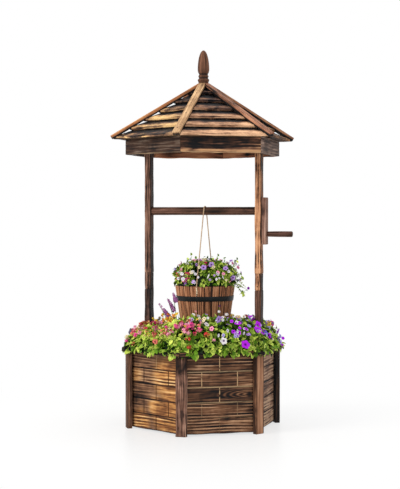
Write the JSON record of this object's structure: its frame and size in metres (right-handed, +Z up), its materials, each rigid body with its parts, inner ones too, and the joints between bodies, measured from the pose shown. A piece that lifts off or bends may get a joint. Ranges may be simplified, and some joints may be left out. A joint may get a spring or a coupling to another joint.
{
  "type": "wishing well planter",
  "caption": "Hexagonal boarded planter in the form of a wishing well: uprights carry a slatted roof and a cranked roller, from which a planted bucket hangs.",
  "frame": {"origin": "on the ground, below the middle of the overall box; the well's own axis is 14.68 mm to the -X side of it, because the crank handle reaches past the roof", "axes": "+Z up, +X along the roller towards the crank, -Y towards the front corner post"},
  "size_m": [0.6406, 0.692, 1.3799],
  "materials": {
    "wall_wood": "charred and brushed fir boards with raised grain",
    "dark_wood": "darkly charred, brushed fir",
    "post_wood": "lightly charred fir",
    "slat_wood": "lightly charred fir with dark edges",
    "hoop_steel": "black painted steel band",
    "jute_rope": "twisted jute",
    "soil": null,
    "foliage": null
  },
  "bodies": {
    "well": {"wall_panel_right": "wall_wood", "wall_panel_rear_right": "wall_wood", "wall_panel_rear_left": "wall_wood", "wall_panel_left": "wall_wood", "wall_panel_front_left": "wall_wood", "wall_panel_front_right": "wall_wood", "corner_post_rear_right": "dark_wood", "corner_post_rear": "dark_wood", "corner_post_rear_left": "dark_wood", "corner_post_front_left": "dark_wood", "corner_post_front": "dark_wood", "corner_post_front_right": "dark_wood", "rim_right": "dark_wood", "rim_rear_right": "dark_wood", "rim_rear_left": "dark_wood", "rim_left": "dark_wood", "rim_front_left": "dark_wood", "rim_front_right": "dark_wood", "floor_front": "wall_wood", "floor_rear": "wall_wood", "upright_lower_left": "dark_wood", "upright_lower_right": "dark_wood", "upright_upper_left": "post_wood", "upright_upper_right": "post_wood", "roof_bearer": "post_wood", "fascia_right": "dark_wood", "fascia_rear_right": "dark_wood", "fascia_rear_left": "dark_wood", "fascia_left": "dark_wood", "fascia_front_left": "dark_wood", "fascia_front_right": "dark_wood", "roof_panel_right": "slat_wood", "roof_panel_rear_right": "slat_wood", "roof_panel_rear_left": "slat_wood", "roof_panel_left": "slat_wood", "roof_panel_front_left": "slat_wood", "roof_panel_front_right": "slat_wood", "hip_batten_rear_right": "slat_wood", "hip_batten_rear": "slat_wood", "hip_batten_rear_left": "slat_wood", "hip_batten_front_left": "slat_wood", "hip_batten_front": "slat_wood", "hip_batten_front_right": "slat_wood", "apex_block": "dark_wood", "finial": "dark_wood", "bed_soil": "soil", "bed_planting": "foliage"},
    "windlass": {"roller": "dark_wood", "crank_arm": "dark_wood", "crank_handle": "post_wood"},
    "rope_hanger": {"rope_loop": "jute_rope"},
    "rope_strands": {"rope_front": "jute_rope", "rope_rear": "jute_rope"},
    "bucket": {"bucket_staves": "dark_wood", "bucket_bottom": "dark_wood", "bucket_hoop": "hoop_steel", "rope_end_front": "jute_rope", "rope_end_rear": "jute_rope", "bucket_soil": "soil", "bucket_planting": "foliage"}
  },
  "joints": [
    {"name": "windlass_turn", "type": "hinge", "parent": "well", "child": "windlass", "pos_m": [-0.01468, 0, 0.79], "axis": [1, 0, 0], "range_deg": [0, 400]},
    {"name": "bucket_swing_fore_aft", "type": "hinge", "parent": "well", "child": "rope_hanger", "pos_m": [-0.00868, 0, 0.79], "axis": [1, 0, 0], "range_deg": [-5, 5]},
    {"name": "bucket_swing_sideways", "type": "hinge", "parent": "rope_hanger", "child": "rope_strands", "pos_m": [-0.00868, 0, 0.7956], "axis": [0, 1, 0], "range_deg": [-5, 5]},
    {"name": "bucket_lift", "type": "slide", "parent": "rope_strands", "child": "bucket", "axis": [0, 0, 1], "range_m": [0, 0.1169], "deforming": ["rope_front", "rope_rear"]}
  ],
  "couplings": [
    {"joint": "windlass_turn", "follows": "bucket_lift", "rad_per_m": 59.7}
  ]
}
